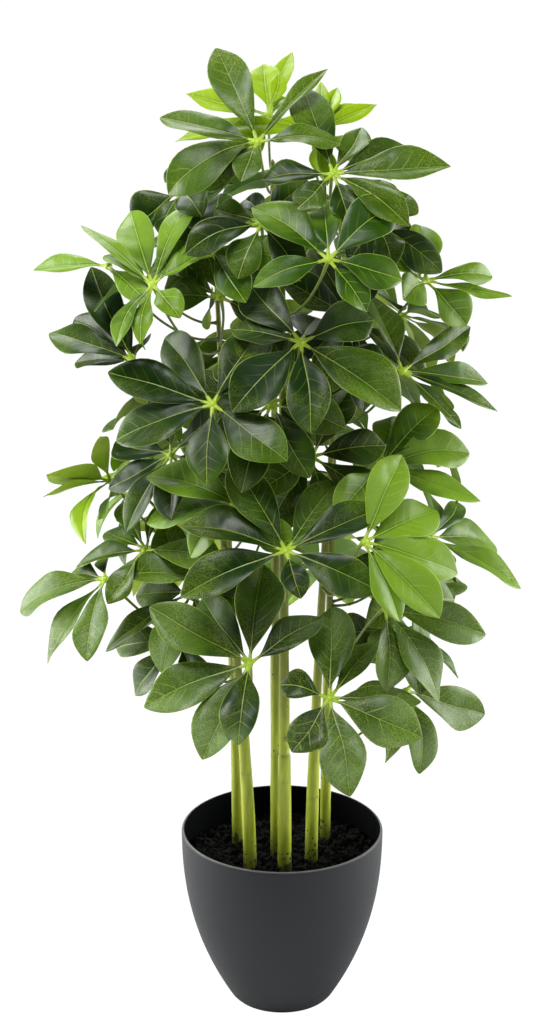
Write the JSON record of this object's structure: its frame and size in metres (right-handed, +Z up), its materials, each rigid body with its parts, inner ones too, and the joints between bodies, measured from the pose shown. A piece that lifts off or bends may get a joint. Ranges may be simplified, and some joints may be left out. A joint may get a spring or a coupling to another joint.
{
  "type": "potted umbrella plant",
  "caption": "Umbrella plant in a round tapered pot: slim upright stems carry leaves whose leaflets fan out from a hub, over dark soil.",
  "frame": {"origin": "centre of the pot's underside", "axes": "+Z up along the stems, front of the plant towards -Y"},
  "size_m": [0.4462, 0.3848, 0.879],
  "materials": {
    "pot": "matte moulded, dark grey",
    "soil": "loose and crumbly, near black",
    "stem": "satin, olive green with fine specks",
    "leaf_green": "satin deep green with a pale midrib",
    "leaf_lime": "satin yellow green with a pale midrib"
  },
  "bodies": {
    "root": {"pot": "pot", "soil": "soil", "stem_1": "stem", "stem_2": "stem", "stem_3": "stem", "stem_4": "stem", "stem_5": "stem", "stem_6": "stem", "leaf_01": "leaf_green", "leaf_02": "leaf_green", "leaf_03": "leaf_lime", "leaf_04": "leaf_lime", "leaf_05": "leaf_green", "leaf_06": "leaf_lime", "leaf_07": "leaf_green", "leaf_08": "leaf_green", "leaf_09": "leaf_green", "leaf_10": "leaf_green", "leaf_11": "leaf_green", "leaf_12": "leaf_green", "leaf_13": "leaf_green", "leaf_14": "leaf_green", "leaf_15": "leaf_lime", "leaf_16": "leaf_green", "leaf_17": "leaf_lime", "leaf_18": "leaf_green", "leaf_19": "leaf_green", "leaf_20": "leaf_green", "leaf_21": "leaf_green", "leaf_22": "leaf_green", "leaf_23": "leaf_lime", "leaf_24": "leaf_lime", "leaf_25": "leaf_green", "leaf_26": "leaf_green", "leaf_27": "leaf_green", "leaf_28": "leaf_green", "leaf_29": "leaf_green", "leaf_30": "leaf_green", "leaf_31": "leaf_green", "leaf_32": "leaf_green", "leaf_33": "leaf_green", "leaf_34": "leaf_green", "leaf_35": "leaf_green", "leaf_36": "leaf_green", "leaf_37": "leaf_green", "leaf_38": "leaf_lime", "leaf_39": "leaf_green", "leaf_40": "leaf_green", "leaf_41": "leaf_green", "leaf_42": "leaf_lime", "leaf_43": "leaf_green", "leaf_44": "leaf_green", "leaf_45": "leaf_green", "leaf_46": "leaf_lime", "leaf_47": "leaf_green", "leaf_48": "leaf_green", "leaf_49": "leaf_green", "leaf_50": "leaf_lime", "leaf_51": "leaf_green", "leaf_52": "leaf_green"}
  },
  "joints": []
}
